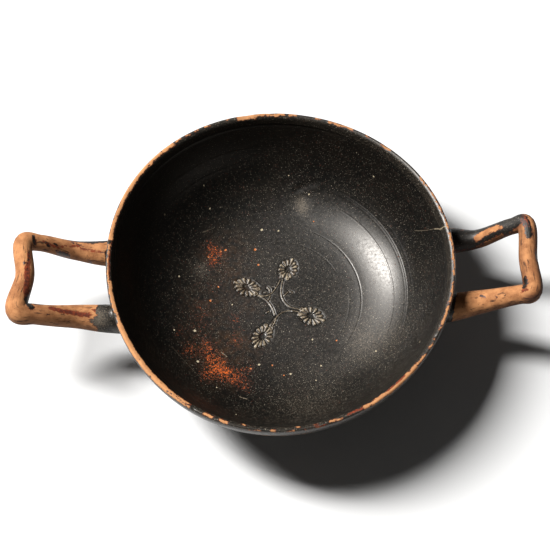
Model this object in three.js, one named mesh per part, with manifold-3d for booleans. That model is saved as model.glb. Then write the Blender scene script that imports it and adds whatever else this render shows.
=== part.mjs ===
// Stemless kylix: a wheel-thrown drinking cup on a low ring foot, with two horizontal handles.
// Units are millimetres, +Z is up, the cup stands on z = 0 and its handles reach out along X.
// Bowl, foot and handles were joined while leather-hard and fired as one, so they are one solid.
import * as THREE from "three";
import * as BufferGeometryUtils from "three/addons/utils/BufferGeometryUtils.js";
import Module from "manifold-3d";

// Driving dimensions
const RIM_RADIUS = 75; // outside of the wall, just under the lip
const HEIGHT = 50; // standing plane to the crest of the lip
const BOWL_DEPTH = 37; // crest of the lip to the floor of the bowl
const BOWL_SPAN = 73; // radius where the bowl's curve would reach the crest's height
const BOWL_RISES = [ // the curve is a shallow dish plus a wall that turns up near the lip
  { height: 22, power: 4 },
  { height: 15, power: 10 },
];
const MOUTH_RADIUS = 71.9; // where the bowl's curve gives way to the bevel inside the lip
const WALL_AT_LIP = 3.3;
const WALL_AT_FLOOR = 4.6;
const FOOT_RADIUS = 37.6; // widest part of the foot's rounded moulding
const FOOT_NECK_RADIUS = 34.8; // groove between foot and bowl
const FOOT_HEIGHT = 8.2;
const FOOT_RING = { inner: 31.5, outer: 36 }; // flat ring that touches the table
const RECESS_HEIGHT = 8.6; // standing plane to the reserved disc under the floor
const NIPPLE = { radius: 5, drop: 1.2 }; // small cone left at the wheel's centre
const LOBES = { count: 3, amount: 0.0116, peak: 16 }; // sag of the rim in drying, share of radius
const RIM_SQUASH = { count: 2, amount: 0.0039, peak: -51 };
const SEGMENTS = 66;

// The two handles differ a little, as hand-rolled ones do. Lengths run along each arm from the
// bowl's axis; "back" is the +Y arm and "front" the -Y arm. The widths are the rod's full widths
// at even shares of its centre line, from inside the wall at the back root to the front root.
const ROOT_HEIGHT = 31.5;
const CORNER_HEIGHT = 48;
const ROOT_SLOPE = 0.1; // rise over run where the rod leaves the wall
const ROOT_INSIDE = 15; // the rod starts this far inside its root, to be trimmed off in the wall
const ROOT_OUTSIDE = 4; // and runs straight for this far outside it
const HANDLES = [
  {
    side: -1,
    back: { root: [71, 17.2], middle: [88, 17.8, 34.5], knee: [102.5, 17.3, 44.5], corner: [109.3, 16] },
    front: { root: [69, 14], middle: [88, 13.6, 34.5], knee: [104.5, 16.2, 44.5], corner: [112.2, 15.8] },
    bow: 1.8,
    widths: [13.6, 10.8, 8.2, 6.9, 8.4, 8.1, 9.7, 8.6, 9.9, 12.2, 15],
  },
  {
    side: 1,
    back: { root: [71, 17.1], middle: [87, 16.4, 34.5], knee: [101.5, 17.2, 44.5], corner: [106.9, 16.3] },
    front: { root: [69, 14.6], middle: [89, 13.6, 35.5], knee: [102.5, 15.4, 45], corner: [106.9, 15.8] },
    bow: 0.2,
    widths: [13.4, 11.4, 7.9, 7, 8, 8.1, 8.4, 7.9, 9.5, 12.1, 15],
  },
];
const ROD_SIDES = 12;
const ROD_STEPS = 50; // a multiple of the curve's ten stretches, which crowd at the corners
const ROD_FLATNESS = 1.04; // height of the rod's oval section over its width

const radians = THREE.MathUtils.degToRad;

// Height of the bowl's inside above the standing plane: flat floor, then a wall that turns up.
function bowlHeight(radius) {
  const share = radius / BOWL_SPAN;
  const rise = BOWL_RISES.reduce((sum, { height, power }) => sum + height * share ** power, 0);
  return HEIGHT - BOWL_DEPTH + rise;
}

function bowlSlope(radius) {
  const share = radius / BOWL_SPAN;
  return BOWL_RISES.reduce((sum, { height, power }) => {
    return sum + (height * power * share ** (power - 1)) / BOWL_SPAN;
  }, 0);
}

// The outside of the wall lies a wall's thickness away from the inside, square to it.
function outsidePoint(radius) {
  const slope = bowlSlope(radius);
  const share = radius / MOUTH_RADIUS;
  const thickness = THREE.MathUtils.lerp(WALL_AT_FLOOR, WALL_AT_LIP, share ** 2);
  const length = Math.hypot(slope, 1);
  return [radius + (thickness * slope) / length, bowlHeight(radius) - thickness / length];
}

function steps(from, to, count) {
  return Array.from({ length: count + 1 }, (_, i) => THREE.MathUtils.lerp(from, to, i / count));
}

// Profile from the axis across the bowl, over the lip, down the outside and under the foot.
function bowlProfile() {
  const inside = steps(0, 0.55, 4).concat(steps(0.66, 1, 9)).map((share) => {
    const radius = MOUTH_RADIUS * share;
    return [radius, bowlHeight(radius)];
  });
  const lip = [
    [RIM_RADIUS - 2.2, HEIGHT - 0.9],
    [RIM_RADIUS - 1.2, HEIGHT],
    [RIM_RADIUS - 0.3, HEIGHT - 0.6],
    [RIM_RADIUS, HEIGHT - 2.2],
  ];
  const outside = steps(0.995, 0.5, 11).map((share) => outsidePoint(MOUTH_RADIUS * share));
  const foot = [
    [FOOT_NECK_RADIUS, FOOT_HEIGHT + 1.4],
    [FOOT_NECK_RADIUS, FOOT_HEIGHT - 0.6],
    ...steps(65, -60, 6).map((angle) => [
      FOOT_RADIUS - 4 + 4 * Math.cos(radians(angle)),
      3.6 + 3.9 * Math.sin(radians(angle)),
    ]),
    [FOOT_RING.outer - 0.8, 0],
    [FOOT_RING.inner, 0],
    [FOOT_RING.inner - 0.7, 1.2],
    [FOOT_RING.inner - 1.6, RECESS_HEIGHT - 1],
    [FOOT_RING.inner - 3, RECESS_HEIGHT],
    [NIPPLE.radius, RECESS_HEIGHT],
    [0, RECESS_HEIGHT - NIPPLE.drop],
  ];
  return [...inside, ...lip, ...outside, ...foot].reverse().map(([r, z]) => new THREE.Vector2(r, z));
}

// The rim dried a little out of round; the share of that sag grows from the foot to the lip.
function outOfRound(angle, height) {
  const rise = THREE.MathUtils.smoothstep(height, FOOT_HEIGHT, HEIGHT);
  const wave = [LOBES, RIM_SQUASH].reduce((sum, { count, amount, peak }) => {
    return sum + amount * Math.cos(count * (angle - radians(peak)));
  }, 0);
  return 1 + rise * wave;
}

function warp(geometry) {
  const position = geometry.getAttribute("position");
  for (let i = 0; i < position.count; i += 1) {
    const [x, y, z] = [position.getX(i), position.getY(i), position.getZ(i)];
    const scale = outOfRound(Math.atan2(y, x), z);
    position.setXYZ(i, x * scale, y * scale, z);
  }
  return geometry;
}

function turned(profile) {
  return warp(new THREE.LatheGeometry(profile, SEGMENTS).rotateX(Math.PI / 2));
}

// A plug that fills the bowl to the middle of its wall and stands above it, so that what it
// cuts off is the end of a handle that would otherwise show inside the bowl.
function plugProfile() {
  const wall = steps(0, 1, 8).map((share) => {
    const radius = MOUTH_RADIUS * share;
    const [outsideRadius, outsideHeight] = outsidePoint(radius);
    return [(radius + outsideRadius) / 2, (bowlHeight(radius) + outsideHeight) / 2];
  });
  const top = HEIGHT + 15;
  return [...wall, [wall.at(-1)[0], top], [0, top]].map(([r, z]) => new THREE.Vector2(r, z));
}

// Centre line of a handle: out along the back arm, across the bar, and in along the front arm.
function handleCurve({ side, back, front, bow }) {
  const arm = ({ root, middle, knee, corner }, hand) => [
    [root[0] - ROOT_INSIDE, root[1], ROOT_HEIGHT - ROOT_INSIDE * ROOT_SLOPE],
    [root[0] + ROOT_OUTSIDE, root[1], ROOT_HEIGHT + ROOT_OUTSIDE * ROOT_SLOPE],
    middle,
    knee,
    [...corner, CORNER_HEIGHT],
  ].map(([x, y, z]) => new THREE.Vector3(side * x, hand * y, z));
  const barReach = (back.corner[0] + front.corner[0]) / 2 - bow;
  const barMiddle = new THREE.Vector3(side * barReach, 0, CORNER_HEIGHT);
  return new THREE.CatmullRomCurve3([...arm(back, 1), barMiddle, ...arm(front, -1).reverse()]);
}

// Width of the rod at a share of the way along it, on a smooth curve through the listed widths.
function rodWidth({ widths }, share) {
  const stations = widths.map((width, i) => new THREE.Vector2(i / (widths.length - 1), width));
  return new THREE.SplineCurve(stations).getPoint(share).y;
}

// A closed loft: one oval ring for each step along the centre line, and a fan over each end.
function handleGeometry(handle) {
  const curve = handleCurve(handle);
  const vertices = [];
  const triangles = [];
  for (let step = 0; step <= ROD_STEPS; step += 1) {
    const share = step / ROD_STEPS;
    const centre = curve.getPoint(share);
    const along = curve.getTangent(share);
    const sideways = new THREE.Vector3(0, 0, 1).cross(along).normalize();
    const upwards = new THREE.Vector3().crossVectors(along, sideways);
    const half = rodWidth(handle, share) / 2;
    for (let k = 0; k < ROD_SIDES; k += 1) {
      const angle = (k / ROD_SIDES) * 2 * Math.PI;
      vertices.push(centre.clone()
        .addScaledVector(sideways, half * Math.cos(angle))
        .addScaledVector(upwards, half * ROD_FLATNESS * Math.sin(angle)));
    }
  }
  const ring = (step, k) => step * ROD_SIDES + (k % ROD_SIDES);
  for (let step = 0; step < ROD_STEPS; step += 1) {
    for (let k = 0; k < ROD_SIDES; k += 1) {
      const [a, b] = [ring(step, k), ring(step, k + 1)];
      const [c, d] = [ring(step + 1, k + 1), ring(step + 1, k)];
      triangles.push(a, b, c, a, c, d);
    }
  }
  for (let k = 1; k < ROD_SIDES - 1; k += 1) {
    triangles.push(ring(0, 0), ring(0, k + 1), ring(0, k));
    triangles.push(ring(ROD_STEPS, 0), ring(ROD_STEPS, k), ring(ROD_STEPS, k + 1));
  }
  const geometry = new THREE.BufferGeometry().setFromPoints(vertices);
  geometry.setIndex(triangles);
  return geometry;
}

const wasm = await Module();
wasm.setup();

function toSolid(geometry) {
  const bare = geometry.clone();
  bare.deleteAttribute("normal");
  bare.deleteAttribute("uv");
  const merged = BufferGeometryUtils.mergeVertices(bare, 1e-3);
  return new wasm.Manifold(new wasm.Mesh({
    numProp: 3,
    vertProperties: new Float32Array(merged.getAttribute("position").array),
    triVerts: new Uint32Array(merged.getIndex().array),
  }));
}

function toGeometry(solid) {
  const { vertProperties, triVerts } = solid.getMesh();
  const geometry = new THREE.BufferGeometry();
  geometry.setAttribute("position", new THREE.Float32BufferAttribute(vertProperties, 3));
  geometry.setIndex([...triVerts]);
  geometry.computeVertexNormals();
  return geometry;
}

// The bowl with its foot, and both handles trimmed at the middle of the wall and joined to it.
function kylixGeometry() {
  const plug = toSolid(turned(plugProfile()));
  const bowl = toSolid(turned(bowlProfile()));
  const cup = HANDLES.reduce((solid, handle) => {
    return solid.add(toSolid(handleGeometry(handle)).subtract(plug));
  }, bowl);
  return toGeometry(cup);
}

const gloss = new THREE.MeshStandardMaterial({ color: 0x1c1a17, roughness: 0.35, metalness: 0 });
const kylix = new THREE.Mesh(kylixGeometry(), gloss);
kylix.name = "kylix";

// One handle reaches a little further than the other, so the cup is set with the middle of its
// whole length, handles included, over the origin.
kylix.geometry.computeBoundingBox();
const { min, max } = kylix.geometry.boundingBox;
kylix.position.set(-(min.x + max.x) / 2, -(min.y + max.y) / 2, 0);

const model = new THREE.Group();
model.add(kylix);
export default model;
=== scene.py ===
"""Stemless kylix: a wheel-thrown drinking cup in black gloss, on a low ring foot, with two handles.

Shapes are worked out in millimetres about the bowl's own axis, +Z up, standing on z = 0.
The back of the cup is +Y; angles run from +X towards +Y, in degrees.
"""
import math
from functools import partial

import bpy
import numpy as np
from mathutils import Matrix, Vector


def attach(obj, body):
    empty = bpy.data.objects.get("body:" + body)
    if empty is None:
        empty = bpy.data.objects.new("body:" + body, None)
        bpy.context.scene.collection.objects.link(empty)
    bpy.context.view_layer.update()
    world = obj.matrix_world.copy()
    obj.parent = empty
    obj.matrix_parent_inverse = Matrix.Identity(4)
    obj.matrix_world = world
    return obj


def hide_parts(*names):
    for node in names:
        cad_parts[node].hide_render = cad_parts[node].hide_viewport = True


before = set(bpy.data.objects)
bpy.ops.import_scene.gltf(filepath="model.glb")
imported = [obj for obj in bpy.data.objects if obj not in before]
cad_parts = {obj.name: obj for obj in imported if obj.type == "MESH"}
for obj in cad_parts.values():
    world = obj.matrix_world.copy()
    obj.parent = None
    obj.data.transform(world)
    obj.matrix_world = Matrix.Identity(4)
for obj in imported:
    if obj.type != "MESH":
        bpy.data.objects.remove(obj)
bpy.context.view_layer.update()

MM = 0.001
AXIS = (2.798, 0.641)  # where the bowl's own axis stands: the cup is centred handles included

# ---- bowl, lip and foot ----
HEIGHT = 50.0
FLOOR = 13.0  # inside of the bowl at its middle
SPAN = 73.0  # radius where the bowl's curve would reach the crest's height
RISES = ((22.0, 4), (15.0, 10))  # a shallow dish plus a wall that turns up near the lip
WALL_AT_FLOOR, WALL_AT_LIP = 4.6, 3.3
MOUTH = 71.9
INSIDE_TOP = 71.45  # radius where the inside gives way to the bevel of the lip
LIP = ((71.45, 45.3), (71.9, 46.8), (72.3, 48.25), (72.75, 49.25), (73.2, 49.6), (73.8, 49.82),
       (74.3, 50.0), (74.8, 49.5), (75.0, 48.3), (74.95, 46.8), (74.65, 45.1))
CREST_RADIUS = 74.1
FOOT_TOP = 8.2
RECESS = 8.6  # standing plane to the disc under the floor
NIPPLE_DROP = 1.2  # small cone left at the middle of the underside

FINE, PLAIN = 720, 360  # vertices round the stamped floor and the lip, and round the rest
STAMP_RADIUS = 25.0
INSIDE, LIP_RING, WALL, FOOT = range(4)  # where a ring of the profile lies


def smooth(low, high, x):
    """0 below low, 1 above high, and a smooth S between them."""
    t = np.clip((x - low) / (high - low), 0, 1)
    return t * t * (3 - 2 * t)


def bell(x, middle, width):
    """A rounded hump of height 1 at middle that has died away by about twice its width."""
    return np.exp(-((x - middle) / width) ** 2)


def around(angle, middle):
    """Signed angle from middle, in degrees, within half a turn."""
    return (angle - middle + 180.0) % 360.0 - 180.0


def bowl_height(r):
    """Inside height: the floor plus, for each rise, its height times (r / span) to its power."""
    return FLOOR + sum(rise * (r / SPAN) ** power for rise, power in RISES)


def bowl_slope(r):
    """How steeply the inside climbs: the derivative of bowl_height."""
    return sum(rise * power * (r / SPAN) ** (power - 1) / SPAN for rise, power in RISES)


def outside(r):
    """The outside of the wall: the inside point at r moved out square to it by the thickness."""
    slope = bowl_slope(r)
    thickness = WALL_AT_FLOOR + (WALL_AT_LIP - WALL_AT_FLOOR) * (r / MOUTH) ** 2
    length = np.hypot(slope, 1)
    return r + thickness * slope / length, bowl_height(r) - thickness / length


def out_of_round(angle, z):
    """Share by which the radius grows: a three-lobed and a two-lobed sag that rise to the lip."""
    sag = 0.0116 * np.cos(3 * np.radians(angle - 16)) + 0.0039 * np.cos(2 * np.radians(angle + 51))
    return 1 + smooth(FOOT_TOP, HEIGHT, z) * sag


def through(points, t):
    """Centripetal Catmull-Rom curve through points, at shares t of its stretches.

    Each stretch is a cubic from one point to the next. Its slopes at both ends come from the
    neighbouring points, spaced by the square root of the distances between them."""
    p = np.asarray(points, float)
    p = np.vstack([2 * p[0] - p[1], p, 2 * p[-1] - p[-2]])
    gap = np.sqrt(np.linalg.norm(np.diff(p, axis=0), axis=1))
    place = np.clip(np.asarray(t, float), 0, 1) * (len(points) - 1)
    k = np.minimum(place.astype(int), len(points) - 2)
    w = (place - k)[..., None]
    d0, d1, d2 = (gap[k + i][..., None] for i in range(3))
    a, b, c, d = (p[k + i] for i in range(4))
    m1 = d1 * ((b - a) / d0 - (c - a) / (d0 + d1) + (c - b) / d1)
    m2 = d1 * ((c - b) / d1 - (d - b) / (d1 + d2) + (d - c) / d2)
    return b + w * m1 + w ** 2 * (3 * (c - b) - 2 * m1 - m2) + w ** 3 * (2 * (b - c) + m1 + m2)


def evenly(points, spacing):
    """The same path with its points set evenly along it, about spacing apart."""
    p = np.asarray(points, float)
    along = np.append(0, np.cumsum(np.linalg.norm(np.diff(p, axis=0), axis=1)))
    s = np.linspace(0, along[-1], max(2, int(round(along[-1] / spacing))) + 1)
    return np.stack([np.interp(s, along, p[:, 0]), np.interp(s, along, p[:, 1])], 1)


# ---- stamped pattern on the floor ----
# Four palmettes, each pressed with one stamp: its middle, the way it points, half its length.
PALMETTES = (
    ((4.5, 15.0), 66, 4.9),
    ((-14.1, 7.0), 153, 5.6),
    ((-8.1, -16.8), 236, 5.8),
    ((13.7, -8.0), 335, 5.6),
)
PALMETTE_HALF_WIDTH = 3.95
PETALS = 13
# Linking arcs, drawn with a point while the clay was leather-hard
ARCS = (
    ((1.9, 10.2), (1.0, 6.0), (1.2, 1.4), (3.9, -2.8), (8.9, -4.8)),
    ((8.8, -6.0), (4.5, -5.1), (0.9, -5.9), (-1.7, -8.1), (-4.4, -11.8)),
    ((-2.4, -6.9), (-3.1, -4.2), (-4.6, -1.2), (-6.8, 1.2), (-9.6, 3.0)),
    ((-9.6, 3.2), (-7.2, 2.4), (-4.4, 2.9), (-1.4, 6.0), (0.8, 9.9)),
    ((-1.5, -7.6), (-2.0, -9.2), (-2.7, -10.7), (-3.5, -12.2)), ((-4.0, 2.5), (-4.4, 1.3), (-5.2, 0.2)),
    ((-2.9, -9.4), (-2.2, -9.7)), ((-3.4, -11.0), (-2.7, -11.0)),
)
NICKS = (
    ((-5.1, 6.6), (-4.2, 5.4), (-4.1, 4.4)), ((2.3, 2.4), (4.1, 4.0)), ((4.6, 4.4), (6.0, 3.6)),
    ((-5.9, -5.7), (-4.8, -5.1)), ((-6.5, 4.2), (-5.7, 3.9)), ((-1.9, 6.9), (-1.4, 6.3)),
)
ARC_HALF_WIDTH = 0.26


def distance_to_path(x, y, points):
    """Shortest distance from each (x, y) to the curve through points, sampled finely."""
    line = through(points, np.linspace(0, 1, 40 if len(points) > 2 else 8))
    best = np.full(x.shape, 1e9)
    for (ax, ay), (bx, by) in zip(line[:-1], line[1:]):
        dx, dy = bx - ax, by - ay
        t = np.clip(((x - ax) * dx + (y - ay) * dy) / (dx * dx + dy * dy + 1e-12), 0, 1)
        best = np.minimum(best, np.hypot(x - ax - t * dx, y - ay - t * dy))
    return best


def palmette(x, y, middle, heading, half_length):
    """Height and pale share of one palmette.

    In its own frame p runs from base to tip and q across. Round an oval heart stand drop-shaped
    petals, each a capsule along its own spoke, wider at its outer end, over a sunken field."""
    turn = math.radians(heading)
    dx, dy = x - middle[0], y - middle[1]
    p = dx * math.cos(turn) + dy * math.sin(turn)
    q = -dx * math.sin(turn) + dy * math.cos(turn)
    rho = np.hypot(p / half_length, q / PALMETTE_HALF_WIDTH)
    height = -0.2 * (1 - smooth(0.9, 1.25, rho))
    petal = np.zeros(x.shape)
    for k in range(PETALS):
        spoke = (k - (PETALS - 1) / 2) * 2 * math.pi / PETALS * 0.985
        tip = 1.16 if k == (PETALS - 1) / 2 else 1.0 + 0.03 * math.sin(5.1 * k)
        start, end = 0.42, tip - 0.13
        cx, cy = math.cos(spoke) * half_length, math.sin(spoke) * PALMETTE_HALF_WIDTH
        length = math.hypot(cx, cy)
        ux, uy = cx / length, cy / length
        s = np.clip(p * ux + q * uy, start * length, end * length)
        share = np.clip((s / length - start) / (end - start), 0, 1)
        half = 0.34 + 0.36 * share ** 0.8
        d = np.hypot(p - s * ux, q - s * uy) / half
        petal = np.maximum(petal, np.sqrt(np.clip(1 - d * d, 0, 1)) * (0.55 + 0.45 * share))
    base = np.zeros(x.shape)  # two small spirals at the foot of the palmette
    for hand in (-1, 1):
        cp, cq = -0.86 * half_length, hand * 1.25
        reach = np.hypot(p - cp, q - cq)
        base = np.maximum(base, np.clip(1 - ((reach - 0.75) / 0.36) ** 2, 0, 1))
    raised = np.maximum(petal, 0.8 * base * (rho < 1.3))
    heart = 1 - smooth(0.2, 0.42, rho)
    return height + 0.62 * raised - 0.24 * heart, np.clip(raised, 0, 1)


def stamp(x, y):
    """Height and pale share of the whole stamped and drawn pattern on the floor."""
    height, pale = np.zeros(x.shape), np.zeros(x.shape)
    for middle, heading, half_length in PALMETTES:
        h, m = palmette(x, y, middle, heading, half_length)
        height, pale = height + h, np.maximum(pale, m)
    for path in ARCS + NICKS:
        d = distance_to_path(x, y, path)
        ridge = np.clip(1 - (d / ARC_HALF_WIDTH) ** 2, 0, 1)
        dark_streaks = bell(d, 0.52, 0.2)
        inside_palmette = smooth(0.2, 0.9, pale)
        height += (0.2 * ridge - 0.14 * dark_streaks) * (1 - inside_palmette)
        pale = np.maximum(pale, 0.85 * ridge)
    return height, pale


# ---- wear of the rim ----
# Where the gloss has worn through on the lip: from, to, in degrees; then the inner and outer edge
# of the bare strip, in millimetres across the lip from its crest; then how complete it is.
RIM_WEAR = (
    (0, 10, -0.4, 0.5, 0.78), (11, 33, -0.35, 0.4, 0.72), (46.5, 50.5, -0.5, 0.4, 0.8),
    (55.4, 57, -0.4, 0.3, 0.8), (61.5, 70.5, -0.6, 0.5, 0.75), (73.4, 75, -0.4, 0.4, 0.8),
    (81.5, 84.5, -0.5, 0.5, 0.8), (86, 97, -0.7, 0.6, 0.85), (96.5, 102, -1.2, 0.9, 1.1),
    (104.5, 106, -0.4, 0.4, 0.7), (112, 114, -0.4, 0.4, 0.7), (116.3, 117.8, -0.4, 0.4, 0.7),
    (119.4, 121, -0.4, 0.3, 0.7), (123, 125.5, -0.4, 0.4, 0.7), (126, 144, -0.8, 0.7, 0.95),
    (144, 153, -0.9, 0.9, 1.0), (153, 166, -0.9, 0.3, 1.0), (166, 170, -1.0, 1.0, 1.0),
    (170, 183, -0.75, 0.05, 0.85), (183, 195.5, -1.25, 0.2, 0.9), (195.5, 199.3, -1.2, -0.1, 0.9),
    (199.3, 214, -1.35, 1.2, 1.15), (214, 228, -1.3, 1.2, 1.15), (228, 237, -1.1, -0.35, 0.95),
    (228, 237.5, 0.35, 1.1, 0.9), (242.5, 246, -0.6, 0.7, 0.85), (248, 251, -0.6, 0.7, 0.85),
    (255.5, 256.9, -1.3, -0.6, 0.85), (257.1, 261.8, 0.5, 1.1, 0.62), (265, 266, -0.1, 0.8, 0.95),
    (270.2, 272.6, 0.4, 1.1, 0.75), (273.2, 274.2, -1.1, -0.6, 0.9), (275.7, 277.2, 0.5, 1.1, 0.6),
    (279, 280, -1.0, -0.5, 0.85), (278.9, 282.8, 0.4, 1.2, 0.68), (284, 285.6, -0.5, 0.3, 0.95),
    (286, 288, -0.6, 0.5, 0.75), (290.5, 297, -1.0, -0.2, 0.85), (296, 305, -1.1, 0.8, 0.9),
    (305, 319, -1.05, 0.9, 1.0), (319, 323.8, -0.4, 0.5, 0.85), (326.6, 328.4, -0.4, 0.4, 0.9),
    (329.9, 330.7, -0.3, 0.3, 0.95), (333.6, 335.4, -0.4, 0.4, 0.8), (336, 343.2, -0.6, 0.6, 0.8),
    (344.3, 352, -0.4, 0.5, 0.8), (353.5, 360, -0.4, 0.5, 0.75),
)
# Scraps of gloss left across the worn lip: angle, half width in degrees, inner and outer edge
RIM_LEFT = (
    (168.8, 0.9, -1.4, 1.2), (172.2, 0.45, -1.3, -0.3), (183, 0.45, -1.4, -0.2),
    (195.9, 0.5, -1.5, -0.4), (199.3, 0.35, -0.1, 0.7), (214, 0.4, -0.9, 0.5), (221, 0.5, 0.2, 1.3),
    (225, 0.8, -0.7, -0.1), (29.5, 0.5, -0.6, 1.0), (26.3, 0.3, -0.1, 1.0), (21.6, 0.3, 0.1, 1.0),
    (16.8, 0.45, -0.2, 1.0), (14.4, 0.35, 0.1, 1.0), (5.0, 0.5, -0.2, 1.0), (353.2, 1.1, -0.8, 0.9),
    (351.0, 0.5, -0.1, 1.0), (346.7, 0.4, -0.7, 0.6), (90, 0.4, -0.3, 0.9), (98, 0.35, -1.2, -0.4),
    (131, 0.4, -0.3, 0.9), (137.5, 0.5, -0.9, 0.0), (148, 0.5, 0.1, 1.1), (159, 0.4, -1.0, -0.2),
    (302.8, 2.2, -0.5, -0.05), (316, 0.5, -1.4, -0.4), (298.5, 0.6, 0.0, 0.9),
)
# Thin reddish slip on the inner side of the lip: angle, half width in degrees, outer edge
RIM_REDDENED = ((178, 5.0, -0.3), (309.5, 4.5, -0.55), (293, 3.0, 0.3), (281, 2.0, 0.9))
# Chips broken from the crest: angle, half width in degrees, depth in millimetres
CHIPS = (
    (99, 1.9, 0.55), (91, 1.2, 0.25), (168, 0.7, 0.4), (195.6, 0.6, 0.45), (214, 0.6, 0.35),
    (239, 0.6, 0.3), (280, 0.5, 0.2), (299, 1.1, 0.35), (312, 0.8, 0.25), (331, 0.6, 0.3),
    (48.5, 1.0, 0.2), (17.5, 0.5, 0.25), (137, 0.6, 0.2),
)


def across_lip(r, z):
    """Signed distance from the crest of the lip, negative towards the inside of the bowl."""
    return np.sign(r - CREST_RADIUS) * np.hypot(r - CREST_RADIUS, np.maximum(HEIGHT - z, 0))


def inside_strip(angle, s, start, end, inner, outer):
    """How far inside a stretch of the lip a place lies, in millimetres: along it, and across it."""
    lengthwise = (end - start) / 2 - np.abs(around(angle, (start + end) / 2))
    return (lengthwise * math.radians(CREST_RADIUS),
            (outer - inner) / 2 - np.abs(s - (inner + outer) / 2))


def rim_bare(angle, s):
    """How bare the lip is: over each worn stretch, the distance inside its nibbled strip, in
    millimetres, but for the scraps of gloss that are left on it."""
    bare = np.full(np.shape(angle), -2.0)
    turn = np.radians(angle)
    nibbled = 0.13 * np.sin(37 * turn + 1) + 0.13 * np.sin(61 * turn) + 0.1 * np.sin(97 * turn + 2)
    s = s + nibbled + 0.1 * np.sin(151 * turn)
    for start, end, inner, outer, how in RIM_WEAR:
        lengthwise, crosswise = inside_strip(angle, s, start, end, inner, outer)
        depth = np.minimum(np.clip(lengthwise * 0.7, -2, 0.9), crosswise) + (how - 0.8) * 0.9
        bare = np.maximum(bare, depth)
    for middle, half, inner, outer in RIM_LEFT:
        scrap = inside_strip(angle, s, middle - half, middle + half, inner, outer)
        bare = np.minimum(bare, 0.25 - 1.6 * np.minimum(*scrap))
    return bare


# ---- building the turned cup ----
def profile():
    """The cup's section from the edge of the stamped floor, over the lip and under the foot.

    Rows of (radius, height, vertices round, where), where says which side the ring lies on."""
    floor = evenly([(r, bowl_height(r)) for r in np.linspace(STAMP_RADIUS, 70.2, 200)], 1.42)
    band = evenly([(r, bowl_height(r)) for r in np.linspace(70.2, INSIDE_TOP, 20)], 0.5)
    lip = evenly(through(LIP, np.linspace(0, 1, 200)), 0.5)
    wall = np.stack(outside(np.linspace(0.995, 0.5, 200) * MOUTH), 1)
    skin = evenly(wall, 1.8)
    turn = np.radians(np.linspace(65, -60, 10))
    moulding = np.stack([33.6 + 4 * np.cos(turn), 3.6 + 3.9 * np.sin(turn)], 1)
    neck = [(35.9, 9.05), (35.0, 9.3), (34.7, 8.7), (34.75, 7.75)]
    under = [(35.5, 0.08), (35.0, 0), (33.4, 0), (31.8, 0), (31.35, 0.2), (30.9, 1.2), (30.3, 4.6),
             (29.8, 7.4), (29.2, 8.3), (28.4, 8.55), (26.5, RECESS), (23, RECESS), (19, RECESS),
             (15, RECESS), (11, RECESS), (7.5, RECESS), (5.2, 8.5), (3.4, 8.05), (1.7, 7.6)]
    rows = [(*p, PLAIN, INSIDE) for p in floor[1:]] + [(*p, FINE, INSIDE) for p in band[1:]]
    rows += [(*p, FINE, LIP_RING) for p in lip[1:]] + [(*p, PLAIN, WALL) for p in skin[1:]]
    rows += [(*p, PLAIN, FOOT) for p in (*neck, *moulding, *under)]
    return np.array(rows, float)


def stitch(a, b):
    """Triangles between two closed rings of vertices, where b has as many as a, or half, or twice.

    The rings run the same way round, and seen from outside the faces b lies after a."""
    if len(a) == len(b):
        a1, b1 = np.roll(a, -1), np.roll(b, -1)
        return np.concatenate([np.stack([a, b1, a1], 1), np.stack([a, b, b1], 1)])
    if len(b) == 2 * len(a):
        even, odd = b[0::2], b[1::2]
        a1, next_even = np.roll(a, -1), np.roll(b[0::2], -1)
        return np.concatenate([np.stack([a, even, odd], 1), np.stack([a, odd, a1], 1),
                               np.stack([a1, odd, next_even], 1)])
    return stitch(b, a)[:, ::-1]


def floor_patch():
    """The stamped floor: a square grid bent to a disc, so that its cells are nearly equal.

    For a point (u, v) of the square the radius is the larger of |u| and |v|, and the angle is
    an eighth of a turn times the smaller over the larger. Returns x, y, faces, outer ring."""
    n = FINE // 4
    u, v = np.meshgrid(np.linspace(-1, 1, n + 1), np.linspace(-1, 1, n + 1), indexing="ij")
    wide = np.abs(u) >= np.abs(v)
    big = np.where(wide, u, v)
    safe = np.where(np.abs(big) < 1e-9, 1, big)
    angle = np.where(wide, np.pi / 4 * v / safe, np.pi / 2 - np.pi / 4 * u / safe)
    x, y = big * np.cos(angle) * STAMP_RADIUS, big * np.sin(angle) * STAMP_RADIUS
    index = np.arange((n + 1) ** 2).reshape(n + 1, n + 1)
    a, b, c, d = index[:-1, :-1], index[1:, :-1], index[1:, 1:], index[:-1, 1:]
    faces = np.concatenate([np.stack([a, b, c], -1).reshape(-1, 3),
                            np.stack([a, c, d], -1).reshape(-1, 3)])
    edge = np.concatenate([index[0, :], index[-1, :], index[1:-1, 0], index[1:-1, -1]])
    turn = np.degrees(np.arctan2(y.ravel()[edge], x.ravel()[edge])) % 360
    edge = edge[np.argsort(np.where(turn > 359.99, 0, turn))]
    return x.ravel(), y.ravel(), faces, edge


def hand_ripple(angle, r, seed):
    """Soft unevenness of a few hundredths, as a sum of slow waves round and across the wall."""
    draw = np.random.default_rng(seed)
    total = 0
    for _ in range(7):
        count, pitch, phase = draw.integers(1, 6), draw.uniform(0.05, 0.22), draw.uniform(0, 6.3)
        total = total + np.sin(count * np.radians(angle) + pitch * r + phase)
    return total / 7


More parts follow.
